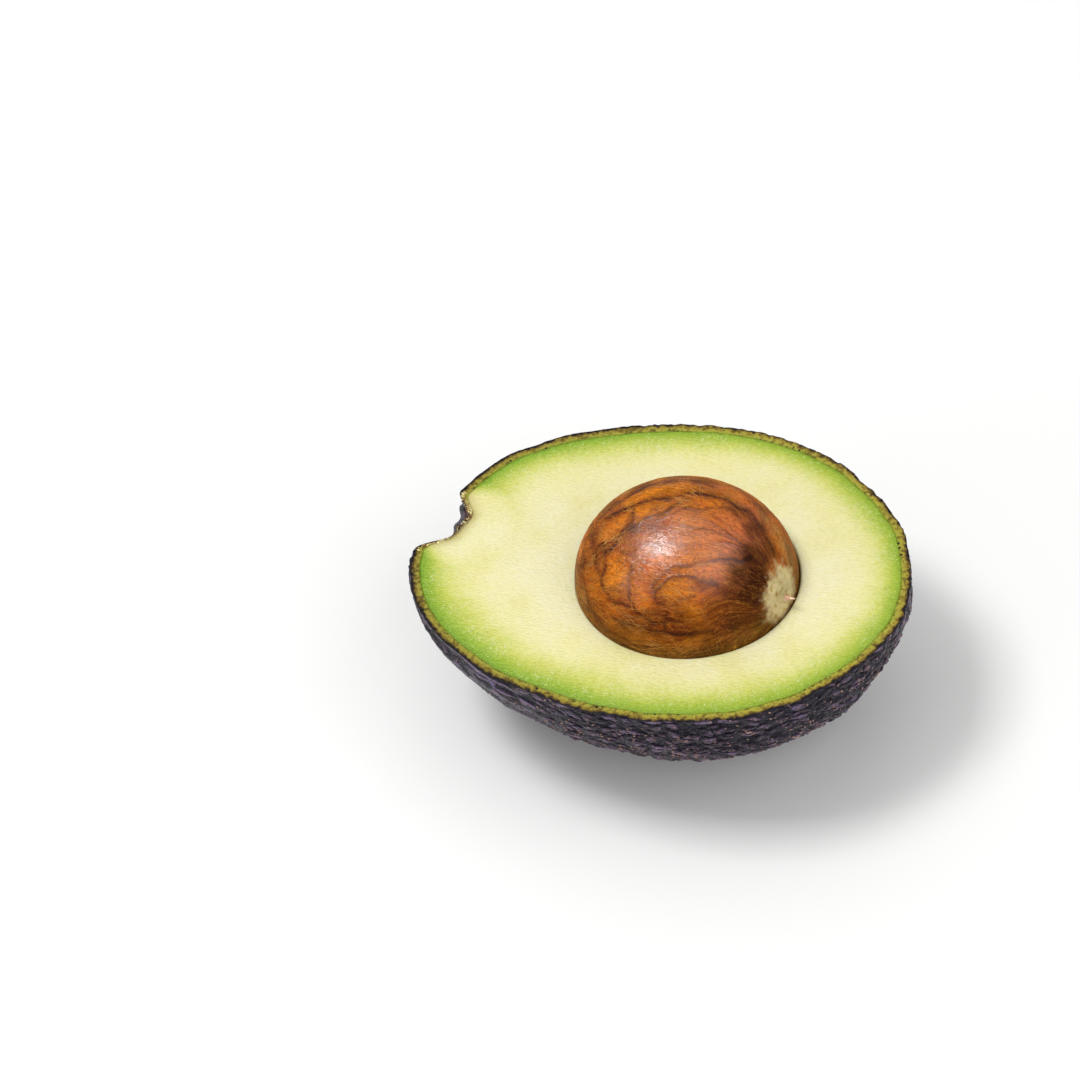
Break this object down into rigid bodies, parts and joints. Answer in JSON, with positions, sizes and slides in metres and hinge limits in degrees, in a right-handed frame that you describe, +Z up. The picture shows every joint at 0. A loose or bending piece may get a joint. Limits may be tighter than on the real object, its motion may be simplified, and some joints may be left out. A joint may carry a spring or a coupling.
{
  "type": "halved avocado",
  "caption": "Avocado cut in half lengthways, lying on its pebbled peel with the cut face up and the round pit still seated in the flesh.",
  "frame": {"origin": "on the surface it lies on, under the middle of the half avocado", "axes": "+X from the stem end to the blossom end, +Z up, out of the cut face"},
  "size_m": [0.0934, 0.0699, 0.0521],
  "materials": {
    "peel": "pebbled purple-black peel, satin, with a cut olive rim",
    "flesh": "moist pale yellow flesh, green towards the peel",
    "pit": "satin orange-brown seed coat with dark veins"
  },
  "bodies": {
    "root": {"skin": "peel", "flesh": "flesh", "pit": "pit"}
  },
  "joints": []
}
